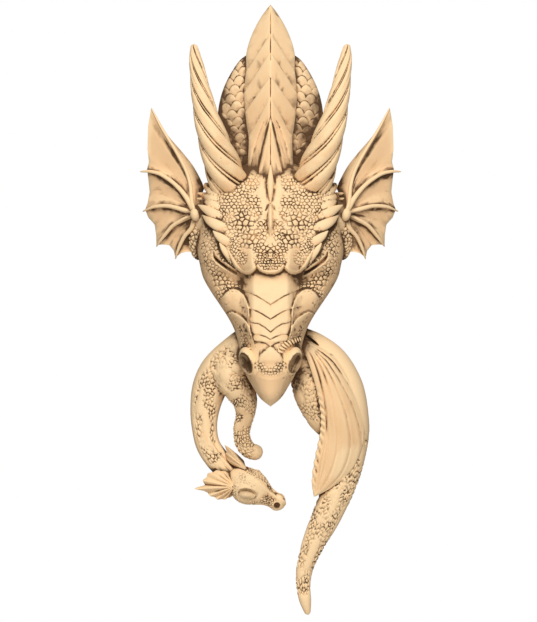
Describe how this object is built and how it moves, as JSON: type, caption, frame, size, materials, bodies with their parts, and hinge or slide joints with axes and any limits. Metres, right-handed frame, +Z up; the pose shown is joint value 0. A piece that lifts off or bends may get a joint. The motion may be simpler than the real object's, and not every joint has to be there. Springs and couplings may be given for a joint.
{
  "type": "dragon head wall relief",
  "caption": "Wall relief of a horned, crested dragon's head with wing-like ears and a young dragon lying behind its jaws, cast in one piece in sand-coloured stone with a flat back.",
  "frame": {"origin": "on the flat back, on the head's middle plane, behind the forehead", "axes": "+Z up along the head's height, +X to the right as seen from the room, -Y out of the wall towards the room"},
  "size_m": [0.263, 0.1334, 0.6095],
  "materials": {
    "cast_stone": "matt sand-coloured cast stone with a fine grain and a darker umber wash left in the hollows"
  },
  "bodies": {
    "root": {"dragon_relief": "cast_stone"}
  },
  "joints": []
}
